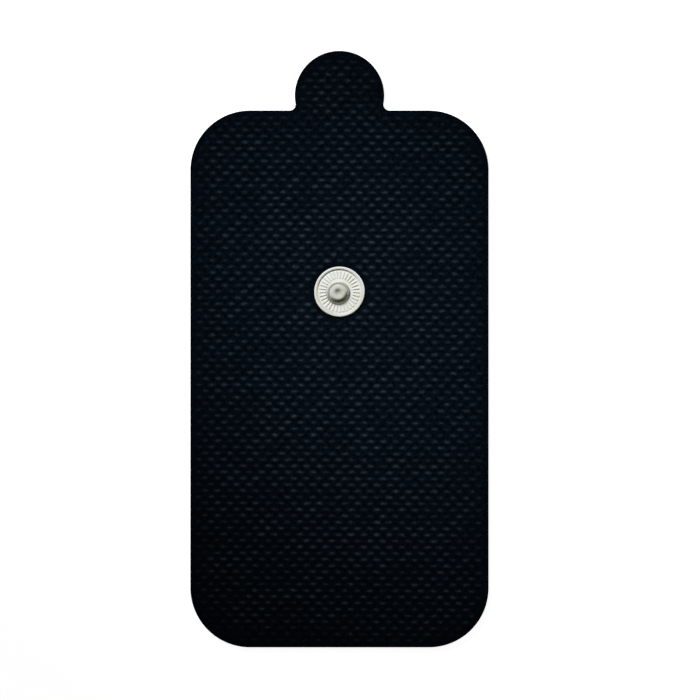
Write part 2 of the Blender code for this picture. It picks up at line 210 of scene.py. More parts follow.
class PadSizes(bpy.types.PropertyGroup):
    """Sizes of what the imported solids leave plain, in millimetres."""

    spot_height: length_size("Spot height", "Height of the embossed spots, mm", 0.12, 0.02, 0.3)
    spot_length: length_size("Spot length", "Length of a spot at half its height, mm", 0.76, 0.3, 1.6)
    spot_width: length_size("Spot width", "Width of a spot at half its height, mm", 0.38, 0.2, 0.9)
    edge_drop: length_size("Edge drop", "How far the die presses the cloth's edge down, mm", 0.08, 0.0, 0.2)
    seat_press: length_size("Seat press", "How far the flange presses the cloth, mm", 0.08, 0.0, 0.15)
    rib_height: length_size("Rib height", "Height of the ribs on the flange, mm", 0.05, 0.02, 0.15)
    rib_share: length_size("Rib share", "Share of a rib's pitch that stands up", 0.62, 0.3, 0.9)


class PadFinishes(bpy.types.PropertyGroup):
    """Colours and gloss of the materials."""

    cloth_ground: colour_size("Cloth ground", "Pressed ground between the spots", "070f17")
    cloth_spot: colour_size("Cloth spot", "Loose fibres on top of a spot", "2a343c")
    film: colour_size("Film", "Carbon-filled film", "17181a")
    gel: colour_size("Gel", "Hydrogel", "c6d0cc")
    nickel: colour_size("Nickel", "Nickel plate", "f0f2f0")
    nickel_patina: colour_size("Nickel patina", "Nickel plate where it has yellowed", "e6e6d6")
    vinyl: colour_size("Vinyl", "Insulating disc", "ecebe6")
    nickel_roughness: FloatProperty(
        name="Nickel roughness", description="Roughness of the barrelled plate", default=0.30,
        min=0.0, max=1.0, subtype="FACTOR",
    )


class PadStage(bpy.types.PropertyGroup):
    """The camera and the light."""

    frame_width: stage_length("Frame width", "Width that the camera sees at the cloth", 0.11731, 0.05, 1.0)
    camera_height: stage_length("Camera height", "Height of the camera over the cloth", 1.0, 0.2, 5.0)
    camera_x: stage_length("Camera X", "Where the camera looks, across the pad", 0.00176, -0.1, 0.1)
    camera_y: stage_length("Camera Y", "Where the camera looks, along the pad", -0.00015, -0.1, 0.1)
    key_power: FloatProperty(
        name="Key power", description="Power of the key lamp", default=25.5, min=0.0, max=500.0, unit="POWER",
    )
    sky_level: FloatProperty(
        name="Sky level", description="Plain light from all round", default=0.12, min=0.0, max=2.0,
    )


def smooth_step(low, high, value):
    """0 up to low, 1 from high, and 3t^2 - 2t^3 between."""
    t = np.clip((value - low) / (high - low), 0.0, 1.0)
    return t * t * (3.0 - 2.0 * t)


def scatter(row, column, salt):
    """A number from 0 to 1 for each spot: the broken-off part of a large sine of its row and column."""
    value = np.sin(row * 12.9898 + column * 78.233 + salt * 37.719) * 43758.5453
    return value - np.floor(value)


def arc(centre_x, centre_y, radius, start, end, steps):
    """Points on a circle from one angle to another, in degrees."""
    angle = np.radians(np.linspace(start, end, steps + 1))
    return np.stack([centre_x + radius * np.cos(angle), centre_y + radius * np.sin(angle)], 1)


def depth_inside(x, y):
    """Distance in mm from each point in to the die-cut outline, negative outside.

    Beside the tab's root corners it is the distance to the rounded body. Between them it is the
    distance to the nearer root arc, and beyond the line from a root centre to the tab's centre it is
    the distance to the tab's circle.
    """
    side = np.abs(x)

    def in_body(top):
        centre = (top + BODY_BOTTOM) / 2
        across = side - (HALF_WIDTH - CORNER_RADIUS)
        along = np.abs(y - centre) - ((top - BODY_BOTTOM) / 2 - CORNER_RADIUS)
        outside = np.hypot(np.maximum(across, 0), np.maximum(along, 0))
        return CORNER_RADIUS - outside - np.minimum(np.maximum(across, along), 0)

    root = np.hypot(side - ROOT_X, y - ROOT_Y) - ROOT_RADIUS
    below = np.minimum(root, in_body(BODY_TOP + 4 * HALF_WIDTH))
    tab = TAB_RADIUS - np.hypot(x, y - TAB_CENTRE_Y)
    over = y > TAB_CENTRE_Y + (ROOT_Y - TAB_CENTRE_Y) * side / ROOT_X
    return np.where(side >= ROOT_X, in_body(BODY_TOP), np.where(over, tab, below))


def snap_distance(x, y):
    """Distance in mm from each point to the snap's axis."""
    return np.hypot(x - SNAP_X, y - SNAP_Y)


def outline_loop(inset, steps, with_tab=True):
    """The outline drawn in by inset, counter-clockwise: arcs, and straight runs between their ends.

    Outer corners lose the inset from their radius, and the tab's hollow root corners gain it.
    """
    corner = CORNER_RADIUS - inset
    right = HALF_WIDTH - CORNER_RADIUS
    low, high = BODY_BOTTOM + CORNER_RADIUS, BODY_TOP - CORNER_RADIUS
    lean = math.degrees(math.asin((TAB_CENTRE_Y - ROOT_Y) / (TAB_RADIUS + ROOT_RADIUS)))
    parts = [arc(right, low, corner, -90, 0, steps), arc(right, high, corner, 0, 90, steps)]
    if with_tab:
        parts += [
            arc(ROOT_X, ROOT_Y, ROOT_RADIUS + inset, 270, 180 - lean, steps // 3),
            arc(0.0, TAB_CENTRE_Y, TAB_RADIUS - inset, -lean, 180 + lean, 2 * steps)[1:-1],
            arc(-ROOT_X, ROOT_Y, ROOT_RADIUS + inset, lean, -90, steps // 3),
        ]
    parts += [arc(-right, high, corner, 90, 180, steps), arc(-right, low, corner, 180, 270, steps)]
    return np.concatenate(parts)


def linked(name, data):
    """A new object in the scene."""
    thing = bpy.data.objects.new(name, data)
    bpy.context.scene.collection.objects.link(thing)
    return thing


def new_piece(name, points, loops, sizes, material):
    """Makes a mesh piece at the origin, from points in mm and the flat list of its faces' corners."""
    mesh = bpy.data.meshes.new(name)
    mesh.vertices.add(len(points))
    mesh.vertices.foreach_set("co", (points * MM).astype(np.float32).ravel())
    mesh.loops.add(len(loops))
    mesh.loops.foreach_set("vertex_index", loops.astype(np.int32))
    mesh.polygons.add(len(sizes))
    starts = np.concatenate([[0], np.cumsum(sizes)[:-1]])
    mesh.polygons.foreach_set("loop_start", starts.astype(np.int32))
    mesh.update(calc_edges=True)
    mesh.validate()
    mesh.shade_smooth()
    mesh.materials.append(material)
    return linked(name, mesh)


def close_flat(piece):
    """Fills each level ring of open edges with flat faces, and turns all faces outwards."""
    bm = bmesh.new()
    bm.from_mesh(piece.data)
    open_edges = [edge for edge in bm.edges if edge.is_boundary]
    heights = sorted({round(edge.verts[0].co.z, 7) for edge in open_edges})
    for height in heights:
        ring = [edge for edge in open_edges if abs(edge.verts[0].co.z - height) < 1e-6]
        bmesh.ops.triangle_fill(bm, edges=ring, use_beauty=True)
    if any(edge.is_boundary for edge in bm.edges):
        raise RuntimeError(f"{piece.name} still has open edges")
    bmesh.ops.recalc_face_normals(bm, faces=bm.faces)
    bm.to_mesh(piece.data)
    bm.free()
    piece.data.shade_smooth()
    piece.data.set_sharp_from_angle(angle=SHARP_ANGLE)


def stacked_rings(rings):
    """Quads between rings with as many points each, and the points as one list."""
    count = len(rings[0])
    at = np.arange(count)
    nxt = np.roll(at, -1)
    quads = np.stack([at, nxt, nxt + count, at + count], 1)
    starts = count * np.arange(len(rings) - 1)
    return np.concatenate(rings), (starts[:, None, None] + quads).reshape(-1, 4)


def cut_grid(u, v, to_plane, depth):
    """A grid of faces cut off where depth falls to zero.

    Corners with a positive depth are kept. Where a grid line leaves the region it gets a corner at the
    crossing, by linear interpolation of the depth. Each cell's face runs through its kept corners and
    crossings in order. Returns the corners, the faces' corners as a flat list, the faces' sizes, and
    the pairs of corners along the rim, with the region on their left.
    """
    x, y = to_plane(*np.meshgrid(u, v))
    d = depth(x, y)
    kept = d > 0
    number = np.full(kept.shape, -1)
    number[kept] = np.arange(kept.sum())
    points = [np.stack([x[kept], y[kept]], 1)]
    total = kept.sum()
    crossings = []
    for down, right in ((0, 1), (1, 0)):
        a = (slice(0, kept.shape[0] - down), slice(0, kept.shape[1] - right))
        b = (slice(down, None), slice(right, None))
        cut = kept[a] != kept[b]
        share = d[a][cut] / (d[a][cut] - d[b][cut])
        points.append(np.stack([c[a][cut] + share * (c[b][cut] - c[a][cut]) for c in (x, y)], 1))
        found = np.full(cut.shape, -1)
        found[cut] = total + np.arange(cut.sum())
        total += cut.sum()
        crossings.append(found)
    along, across = crossings
    corners = [number[:-1, :-1], number[:-1, 1:], number[1:, 1:], number[1:, :-1]]
    sides = [along[:-1], across[:, 1:], along[1:], across[:, :-1]]
    ring = np.stack([part for pair in zip(corners, sides) for part in pair], -1).reshape(-1, 8)
    used = ring >= 0
    sizes = used.sum(1)
    held = ring[:, 0::2] >= 0
    held_next = np.roll(held, -1, axis=1)
    leaves = held & ~held_next
    enters = ~held & held_next
    rim = leaves.sum(1) == 1
    if (leaves.sum(1) > 1).any():
        raise RuntimeError("the cloth's grid is too coarse for its outline")
    pairs = np.stack([ring[rim][:, 1::2][leaves[rim]], ring[rim][:, 1::2][enters[rim]]], 1)
    shown = sizes >= 3
    return np.concatenate(points), ring[shown][used[shown]], sizes[shown], pairs


def slope_out(depth, points):
    """The unit direction in which depth falls fastest at each point, from differences over 0.01 mm."""
    x, y = points.T
    step = 0.01
    gx = depth(x - step, y) - depth(x + step, y)
    gy = depth(x, y - step) - depth(x, y + step)
    length = np.maximum(np.hypot(gx, gy), 1e-9)
    return np.stack([gx / length, gy / length], 1)


def pattern_to_plane(u, v):
    """Embossing coordinates to pad coordinates: a turn, then a shift to the pattern's peak."""
    c, s = math.cos(PATTERN_TURN), math.sin(PATTERN_TURN)
    return PATTERN_X + u * c - v * s, PATTERN_Y + u * s + v * c


def plane_to_pattern(x, y):
    """Pad coordinates to embossing coordinates, the other way round."""
    c, s = math.cos(PATTERN_TURN), math.sin(PATTERN_TURN)
    dx, dy = x - PATTERN_X, y - PATTERN_Y
    return dx * c + dy * s, dy * c - dx * s


def spot_reach(size):
    """The a in exp(-(d/a)^2) that makes the bell size wide at half its height."""
    return size / 2 / math.log(2) ** 0.5


def spot_relief(x, y, sizes):
    """Height of the embossing: on each spot the height times exp(-(u/a)^2 - (v/b)^2).

    u and v run along and across the row from the spot's middle, and a and b give the length and width
    at half height. Each spot's height and length stray a little.
    """
    u, v = plane_to_pattern(x, y)
    row = np.round(v / ROW_PITCH)
    shift = np.mod(row, 2) * SPOT_PITCH / 2
    column = np.round((u - shift) / SPOT_PITCH)
    along = u - shift - column * SPOT_PITCH
    over = v - row * ROW_PITCH
    a = spot_reach(sizes.spot_length) * (0.9 + 0.2 * scatter(row, column, 1))
    b = spot_reach(sizes.spot_width)
    height = sizes.spot_height * (0.8 + 0.4 * scatter(row, column, 2))
    return height * np.exp(-(along / a) ** 2 - (over / b) ** 2)


def nap(x, y):
    """1 where the spots stand up, falling to 0 at the cut edge and under the flange."""
    depth = depth_inside(x, y)
    edge = sum(rise * smooth_step(low, high, depth) for low, high, rise in NAP_EDGE)
    return edge * smooth_step(*NAP_SEAT, snap_distance(x, y))


def cloth_height(x, y, sizes):
    """Height of the cloth: its ground, less the pressed seat and edge, plus the spots."""
    seat = sizes.seat_press * (1 - smooth_step(SEAT_EDGE, SEAT_EDGE + SEAT_SLOPE, snap_distance(x, y)))
    edge = sizes.edge_drop * (1 - smooth_step(0.0, EDGE_SLOPE, depth_inside(x, y)))
    return CLOTH_HIGH[2] - SPOT_ROOM - seat - edge + nap(x, y) * spot_relief(x, y, sizes)


def make_backing_cloth(sizes, material):
    """The embossed cloth, from a grid on the embossing's own rows.

    The grid is cut to the outline less a band, and cloth_height gives its height. Then come the band's
    soft cut edge, the wall of the post's hole and a flat back.
    """

    def grid_lines(pitch, lines):
        reach = math.ceil(GRID_REACH / pitch)
        return (np.arange(-reach, reach)[:, None] * pitch + pitch * np.array(lines)).ravel()

    def depth(x, y):
        return np.minimum(depth_inside(x, y) - EDGE_BAND, snap_distance(x, y) - POST_HOLE)

    u, v = grid_lines(SPOT_PITCH / 2, GRID_COLUMNS), grid_lines(ROW_PITCH, GRID_ROWS)
    flat, loops, face_sizes, pairs = cut_grid(u, v, pattern_to_plane, depth)
    out = slope_out(depth, flat)
    rim = np.unique(pairs)
    flat[rim] += out[rim] * depth(*flat[rim].T)[:, None]
    top = np.column_stack([flat, cloth_height(*flat.T, sizes)])

    # The rim's corners are carried out and down: the soft cut edge, or the wall of the hole
    at_hole = snap_distance(*flat[rim].T) < 2 * POST_HOLE
    base = CLOTH_LOW[2]
    thick = CLOTH_HIGH[2] - SPOT_ROOM - sizes.edge_drop - base
    step = np.full(len(top), -1)
    step[rim] = np.arange(len(rim))
    levels = [top[rim]]
    for reach_out, share in CUT_EDGE:
        move = np.where(at_hole, 0.0, reach_out)[:, None] * out[rim]
        height = base + share * np.where(at_hole, top[rim][:, 2] - base, thick)
        levels.append(np.column_stack([flat[rim] + move, height]))
    first, second = step[pairs[:, 0]], step[pairs[:, 1]]
    ids = [rim] + [len(top) + k * len(rim) + np.arange(len(rim)) for k in range(len(CUT_EDGE))]
    walls = np.concatenate([
        np.stack([upper[second], upper[first], lower[first], lower[second]], 1)
        for upper, lower in zip(ids[:-1], ids[1:])
    ])
    points = np.concatenate([top] + levels[1:])
    piece = new_piece(
        "embossed_cloth", points, np.concatenate([loops, walls.ravel()]),
        np.concatenate([face_sizes, np.full(len(walls), 4)]), material,
    )
    close_flat(piece)
    co = np.zeros(len(piece.data.vertices) * 3, np.float32)
    piece.data.vertices.foreach_get("co", co)
    x, y, z = (co.reshape(-1, 3) / MM).T
    standing = piece.data.attributes.new("nap", "FLOAT", "POINT")
    standing.data.foreach_set("value", (nap(x, y) * (z > base + NAP_LOW * thick)).astype(np.float32))
    return piece


def turned_rings(profile, steps=96):
    """A circle of points round the snap's axis for each radius and height of a profile."""
    return [
        np.column_stack([arc(SNAP_X, SNAP_Y, radius, 0, 360, steps)[:-1], np.full(steps, height)])
        for radius, height in profile
    ]


def make_layer(name, low, high, inset, round_over, hollow, material, with_tab=True):
    """A flat layer: the outline carried up a rounded edge, then filled flat above and below.

    hollow is the profile of a turned hole or hollow that starts at the upper face.
    """
    middle = (low + high) / 2
    rings = []
    for angle in np.radians(np.linspace(-90, 90, EDGE_RINGS)):
        pull = inset + round_over * (1 - math.cos(angle))
        loop = outline_loop(pull, CORNER_STEPS, with_tab)
        height = middle + (high - low) / 2 * math.sin(angle)
        rings.append(np.column_stack([loop, np.full(len(loop), height)]))
    points, quads = stacked_rings(rings)
    inner, walls = stacked_rings(turned_rings(hollow))
    quads = np.concatenate([quads, walls + len(points)])
    points = np.concatenate([points, inner])
    piece = new_piece(name, points, quads.ravel(), np.full(len(quads), 4), material)
    close_flat(piece)
    return piece


def stud_profile(steps=6):
    """The stud's outside from the head's middle out to the rim, then its underside back to the middle.

    Radius and height above the cloth, in mm. The head is a flat top with a dimple, rounded over its
    widest ring and drawn in to the neck. The neck's foot flares into the land and the ribs. The rolled
    rim rises as a parabola to its crest and falls as a quarter ellipse to its edge.
    """
    waist = HEAD_RADIUS - HEAD_ROUNDING
    waist_height = STUD_HEIGHT - HEAD_ROUNDING
    undercut = -math.degrees(math.acos((NECK_RADIUS - waist) / HEAD_ROUNDING))
    rib_start = NECK_RADIUS + NECK_FOOT + LAND_WIDTH
    rib_end = FLANGE_RADIUS - RIM_WIDTH
    t = np.linspace(0, 1, 4 * steps + 1)
    dimple = np.column_stack([
        DIMPLE_EDGE * t, STUD_HEIGHT - DIMPLE_DEPTH * (1 - smooth_step(0.0, 1.0, t))
    ])
    flat_top = np.column_stack([
        np.linspace(DIMPLE_EDGE, waist, steps)[1:-1], np.full(steps - 2, STUD_HEIGHT)
    ])
    rounding = arc(waist, waist_height, HEAD_ROUNDING, 90, undercut, 4 * steps)
    foot = arc(NECK_RADIUS + FOOT_FILLET, STUD_SHEET + FOOT_FILLET, FOOT_FILLET, 180, 270, 2 * steps)
    flange = np.column_stack([
        np.linspace(foot[-1, 0], rib_end, 8 * steps)[1:], np.full(8 * steps - 1, STUD_SHEET)
    ])
    t = np.linspace(0, 1, 2 * steps + 1)
    rise = np.column_stack([
        rib_end + (FLANGE_RADIUS - RIM_ROUND - rib_end) * t,
        STUD_SHEET + (RIM_HEIGHT - STUD_SHEET) * (1 - (1 - t) ** 2),
    ])
    fall = arc(0.0, 0.0, 1.0, 90, 0, 2 * steps)
    fall = np.column_stack([
        FLANGE_RADIUS - RIM_ROUND * (1 - fall[:, 0]),
        RIM_EDGE_HEIGHT + (RIM_HEIGHT - RIM_EDGE_HEIGHT) * fall[:, 1],
    ])
    rim = np.concatenate([rise, fall[1:]])
    curl = arc(FLANGE_RADIUS - RIM_EDGE_HEIGHT, RIM_EDGE_HEIGHT, RIM_EDGE_HEIGHT, 0, -90, 2 * steps)
    bore = NECK_RADIUS - STUD_SHEET
    mouth = STUD_SHEET + NECK_FOOT
    inner_mouth = arc(bore + mouth, mouth, mouth, 270, 180, 2 * steps)
    hollow = HEAD_ROUNDING - STUD_SHEET
    lean = -math.degrees(math.acos((bore - waist) / hollow))
    inner_round = arc(waist, waist_height, hollow, lean, 90, 3 * steps)
    inner_top = np.array([
        (DIMPLE_RADIUS + STUD_SHEET / 2, STUD_HEIGHT - STUD_SHEET),
        (DIMPLE_RADIUS * 0.7, STUD_HEIGHT - STUD_SHEET - DIMPLE_DEPTH),
        (0.0, STUD_HEIGHT - STUD_SHEET - DIMPLE_DEPTH),
    ])
    outside = np.concatenate([dimple, flat_top, rounding, foot, flange[:-1], rim])
    return outside, np.concatenate([curl[1:], inner_mouth, inner_round, inner_top]), (rib_start, rib_end)


def head_shift(height):
    """The shift of a ring at a height over the stud's base: HEAD_LEAN times a smooth step of the height."""
    share = smooth_step(STUD_SHEET + NECK_FOOT, STUD_HEIGHT - HEAD_ROUNDING, height)
    return HEAD_LEAN[0] * share, HEAD_LEAN[1] * share


def make_snap_eyelet(material):
    """The eyelet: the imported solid's mesh, merged, smoothed, and shifted as the stud's head is."""
    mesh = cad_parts["snap_eyelet"].data.copy()
    bm = bmesh.new()
    bm.from_mesh(mesh)
    bmesh.ops.remove_doubles(bm, verts=bm.verts, dist=0.001 * MM)
    bm.to_mesh(mesh)
    bm.free()
    co = np.zeros(len(mesh.vertices) * 3, np.float32)
    mesh.vertices.foreach_get("co", co)
    points = co.reshape(-1, 3)
    across, along = head_shift(points[:, 2] / MM - STUD_BASE)
    points[:, 0] += across * MM
    points[:, 1] += along * MM
    mesh.vertices.foreach_set("co", points.ravel())
    mesh.materials.clear()
    mesh.materials.append(material)
    mesh.shade_smooth()
    mesh.set_sharp_from_angle(angle=SHARP_ANGLE)
    return linked("set_eyelet", mesh)


def make_snap_stud(sizes, material):
    """The stud: its profile carried round the axis, with ribs as height over radius and angle.

    A rib's height is a smooth step in the cosine of its angle times the rib count, run out at both ends.
    """
    outside, underside, (rib_start, rib_end) = stud_profile()
    turns = RIB_STEPS * RIB_COUNT
    angle = np.arange(turns) * 2 * math.pi / turns
    profile = np.concatenate([outside, underside])[1:-1]
    radius = np.repeat(profile[:, :1], turns, axis=1)
    height = np.repeat(profile[:, 1:], turns, axis=1)
    crest = smooth_step(-1, 1, np.cos(RIB_COUNT * angle) + 2 * sizes.rib_share - 1)
    ramp = smooth_step(rib_start, rib_start + RIB_RAMP, radius)
    ramp *= 1 - smooth_step(rib_end - RIB_RAMP, rib_end, radius)
    upper = (np.arange(len(profile)) < len(outside) - 1)[:, None]
    ribs = sizes.rib_height * ramp * crest * upper
    across, along = head_shift(height)
    x = SNAP_X + across + radius * np.cos(angle)
    y = SNAP_Y + along + radius * np.sin(angle)
    points, quads = stacked_rings(np.stack([x, y, STUD_BASE + height + ribs], -1))
    axis = (SNAP_X + HEAD_LEAN[0], SNAP_Y + HEAD_LEAN[1])
    poles = [(*axis, STUD_BASE + outside[0, 1]), (*axis, STUD_BASE + underside[-1, 1])]
    quads = quads[:, [0, 3, 2, 1]]  # turned round, since the profile runs from the top down
    at = np.arange(turns)
    nxt = np.roll(at, -1)
    last = (len(profile) - 1) * turns
    caps = np.concatenate([
        np.stack([np.full(turns, len(points)), at, nxt], 1),
        np.stack([np.full(turns, len(points) + 1), last + nxt, last + at], 1),
    ])
    piece = new_piece(
        "plated_stud", np.concatenate([points, poles]), np.concatenate([quads.ravel(), caps.ravel()]),
        np.concatenate([np.full(len(quads), 4), np.full(len(caps), 3)]), material,
    )
    # The plate is rougher between the ribs, on the head, inside the rim's crest, and in a ring under the
    # head's edge, and the same mask darkens its colour there as painted shade; the ring, shifted away from
    # the key lamp, is the head's painted shadow
    dull_and_shade = RIB_DULL_AND_SHADE * ramp * (1 - crest)
    on_head = DIMPLE_DULL_AND_SHADE + (HEAD_DULL_AND_SHADE - DIMPLE_DULL_AND_SHADE) * smooth_step(HEAD_SHADE_START, DIMPLE_EDGE, radius)
    dull_and_shade += on_head * smooth_step(*HEAD_SHADE_RISE, height)
    crest_at = FLANGE_RADIUS - RIM_ROUND
    past_ribs = smooth_step(rib_end, rib_end + RIM_SHADE_RISE, radius)
    dull_and_shade += RIM_DULL_AND_SHADE * past_ribs * (1 - smooth_step(crest_at, crest_at + RIM_SHADE_FALL, radius))
    # Painted shadow of the head: a ring round its edge, shifted down and to the right
    from_head = np.hypot(x - axis[0] - SHADE_SHIFT[0], y - axis[1] - SHADE_SHIFT[1])
    dull_and_shade += np.exp(-((from_head - HEAD_RADIUS) / SHADE_WIDTH) ** 2) * (height < SHADE_TOP)
    values = np.append((dull_and_shade * upper).ravel(), [DIMPLE_DULL_AND_SHADE, 0.0])
    painted_shade_and_dull = piece.data.attributes.new("painted_shade_and_dull", "FLOAT", "POINT")
    painted_shade_and_dull.data.foreach_set("value", values.astype(np.float32))
    return piece


def add_node(tree, kind, sockets=None, **settings):
    """Adds a node with its settings, and sets or links each input named in sockets.

    A node among the values stands for its first output.
    """
    node = tree.nodes.new(kind)
    for name, value in settings.items():
        setattr(node, name, value)
    for name, value in (sockets or {}).items():
        if isinstance(value, bpy.types.Node):
            value = value.outputs[0]
        if isinstance(value, bpy.types.NodeSocket):
            tree.links.new(value, node.inputs[name])
        else:
            node.inputs[name].default_value = value
    return node


def new_material(name):
    """An empty node material and its tree."""
    material = bpy.data.materials.new(name)
    material.use_nodes = True
    material.node_tree.nodes.clear()
    return material, material.node_tree


def coated(material, shader):
    """The material with its shader linked to its output."""
    add_node(material.node_tree, "ShaderNodeOutputMaterial", {0: shader})
    return material


def opaque(colour, share=1.0):
    """A share of a colour's light, with full alpha."""
    return (*(c * share for c in colour[:3]), 1.0)


def per_mm(size):
    """The scale of a texture whose features are size millimetres, on coordinates in metres."""
    return 1.0 / (size * MM)


def spot_mask(tree, place, half_shift, sizes):
    """Nodes for one of the two interleaved sets of spots: its mask and a random number for each spot.

    place is in spot pitches across and pairs of rows along. The mask is the relief's own formula,
    exp(-(u/a)^2 - (v/b)^2).
    """
    moved = add_node(
        tree, "ShaderNodeVectorMath", {0: place, 1: (half_shift, half_shift, 0)}, operation="ADD",
    )
    cell = add_node(tree, "ShaderNodeVectorMath", {0: moved}, operation="FLOOR")
    local = add_node(tree, "ShaderNodeVectorMath", {0: moved}, operation="FRACTION")
    local = add_node(tree, "ShaderNodeVectorMath", {0: local, 1: (0.5, 0.5, 0.0)}, operation="SUBTRACT")
    a = spot_reach(sizes.spot_length)
    b = spot_reach(sizes.spot_width)
    unit = add_node(
        tree, "ShaderNodeVectorMath", {0: local, 1: (SPOT_PITCH / a, 2 * ROW_PITCH / b, 0.0)},
        operation="MULTIPLY",
    )
    part = add_node(tree, "ShaderNodeSeparateXYZ", {0: unit})
    along = add_node(
        tree, "ShaderNodeMath", {0: part.outputs["X"], 1: part.outputs["X"]}, operation="MULTIPLY",
    )
    over = add_node(
        tree, "ShaderNodeMath", {0: part.outputs["Y"], 1: part.outputs["Y"], 2: along},
        operation="MULTIPLY_ADD",
    )
    less = add_node(tree, "ShaderNodeMath", {0: over, 1: -1.0}, operation="MULTIPLY")
    mask = add_node(tree, "ShaderNodeMath", {0: less}, operation="EXPONENT")
    random = add_node(tree, "ShaderNodeTexWhiteNoise", {"Vector": cell}, noise_dimensions="3D")
    return mask, random


def nonwoven_cloth(finishes, sizes):
    """Spunbonded polypropylene, dyed black and embossed hot.

    The pressed ground is almost without light. The spots keep loose fibres, which scatter a little
    bluish light, more on some than on others. Nothing is glossy, so the specular level is near zero,
    and a trace of sheen is left for flat angles.
    """
    material, tree = new_material("black_nonwoven")
    at = add_node(tree, "ShaderNodeTexCoord").outputs["Object"]
    # Fibres are 0.02 mm thick, so they only show from near by: two sets of streaks that cross
    crossed = []
    for turn in (0.5, -0.7):
        drawn = add_node(
            tree, "ShaderNodeMapping", {"Vector": at, "Rotation": (0, 0, turn), "Scale": (0.12, 1, 1)},
        )
        crossed.append(add_node(
            tree, "ShaderNodeTexNoise", {"Vector": drawn, "Scale": per_mm(0.045), "Detail": 2.0},
        ))
    streaks = add_node(tree, "ShaderNodeMath", {0: crossed[0], 1: crossed[1]}, operation="MAXIMUM")
    streaks = add_node(
        tree, "ShaderNodeMapRange",
        {"Value": streaks, "From Min": 0.45, "From Max": 0.68, "To Min": 0.45, "To Max": 1.75},
    )
    # Tufts of them are drawn at 0.22 mm
    fibres = add_node(
        tree, "ShaderNodeTexNoise", {"Vector": at, "Scale": per_mm(0.22), "Detail": 3.0, "Roughness": 0.65},
    )
    stray = add_node(
        tree, "ShaderNodeTexNoise", {"Vector": at, "Scale": per_mm(0.70), "Detail": 3.0},
    ).outputs["Color"]
    stray = add_node(tree, "ShaderNodeVectorMath", {0: stray, 1: (0.5, 0.5, 0.5)}, operation="SUBTRACT")
    stray = add_node(tree, "ShaderNodeVectorMath", {0: stray, 1: (0.34, 0.22, 0.0)}, operation="MULTIPLY")
    place = add_node(
        tree, "ShaderNodeMapping",
        {
            "Vector": at, "Location": (PATTERN_X * MM, PATTERN_Y * MM, 0), "Rotation": (0, 0, PATTERN_TURN),
            "Scale": (SPOT_PITCH * MM, 2 * ROW_PITCH * MM, 1),
        },
        vector_type="TEXTURE",
    )
    place = add_node(tree, "ShaderNodeVectorMath", {0: place, 1: stray}, operation="ADD")
    lit = []
    for half_shift in (0.5, 0.0):
        mask, random = spot_mask(tree, place, half_shift, sizes)
        bright = add_node(tree, "ShaderNodeMapRange", {"Value": random, "To Min": 0.5, "To Max": 1.5})
        lit.append(add_node(tree, "ShaderNodeMath", {0: mask, 1: bright}, operation="MULTIPLY"))
    spots = add_node(tree, "ShaderNodeMath", {0: lit[0], 1: lit[1]}, operation="MAXIMUM")
    standing = add_node(tree, "ShaderNodeAttribute", attribute_name="nap", attribute_type="GEOMETRY")
    spots = add_node(tree, "ShaderNodeMath", {0: spots, 1: standing.outputs["Fac"]}, operation="MULTIPLY")
    tufts = add_node(
        tree, "ShaderNodeMapRange",
        {"Value": fibres, "From Min": 0.3, "From Max": 0.7, "To Min": 0.5, "To Max": 1.5},
    )
    spots = add_node(tree, "ShaderNodeMath", {0: spots, 1: tufts}, operation="MULTIPLY")
    spots = add_node(tree, "ShaderNodeMath", {0: spots, 1: streaks}, operation="MULTIPLY")
    # The die presses the ground unevenly, so that some of it is duller and some keeps a few fibres
    pressed = add_node(
        tree, "ShaderNodeTexNoise", {"Vector": at, "Scale": per_mm(0.55), "Detail": 3.0, "Roughness": 0.6},
    )
    pressed = add_node(
        tree, "ShaderNodeMapRange",
        {"Value": pressed, "From Min": 0.35, "From Max": 0.65, "To Min": 0.45, "To Max": 1.45},
    )
    ground = add_node(
        tree, "ShaderNodeMix", {0: pressed, 6: (0, 0, 0, 1), 7: opaque(finishes.cloth_ground)},
        data_type="RGBA", clamp_factor=False,
    )
    tone = add_node(
        tree, "ShaderNodeMix",
        {0: spots, 6: ground.outputs[2], 7: opaque(finishes.cloth_spot)},
        data_type="RGBA", clamp_factor=False,
    )
    loft = add_node(tree, "ShaderNodeMath", {0: streaks, 1: 0.3, 2: fibres}, operation="MULTIPLY_ADD")
    bump = add_node(tree, "ShaderNodeBump", {"Strength": 0.5, "Distance": 0.03 * MM, "Height": loft})
    surface = add_node(
        tree, "ShaderNodeBsdfPrincipled",
        {
            "Base Color": tone.outputs[2], "Roughness": 0.9, "Specular IOR Level": 0.01,
            "Sheen Weight": 0.005, "Sheen Roughness": 0.4, "Normal": bump,
        },
    )
    return coated(material, surface)


def carbon_film(finishes):
    """Carbon-filled polymer film, extruded: black, half matt, with faint drawing lines along it."""
    material, tree = new_material("carbon_film")
    at = add_node(tree, "ShaderNodeTexCoord").outputs["Object"]
    drawn = add_node(tree, "ShaderNodeMapping", {"Vector": at, "Scale": (1, 0.04, 1)})
    lines = add_node(tree, "ShaderNodeTexNoise", {"Vector": drawn, "Scale": per_mm(0.25), "Detail": 3.0})
    rough = add_node(tree, "ShaderNodeMapRange", {"Value": lines, "To Min": 0.38, "To Max": 0.58})
    deep = add_node(
        tree, "ShaderNodeMix",
        {0: lines, 6: opaque(finishes.film, 0.75), 7: opaque(finishes.film, 1.2)},
        data_type="RGBA",
    )
    bump = add_node(tree, "ShaderNodeBump", {"Strength": 0.3, "Distance": 0.01 * MM, "Height": lines})
    surface = add_node(
        tree, "ShaderNodeBsdfPrincipled",
        {
            "Base Color": deep.outputs[2], "Roughness": rough,
            "Specular IOR Level": 0.4, "Normal": bump,
        },
    )
    return coated(material, surface)


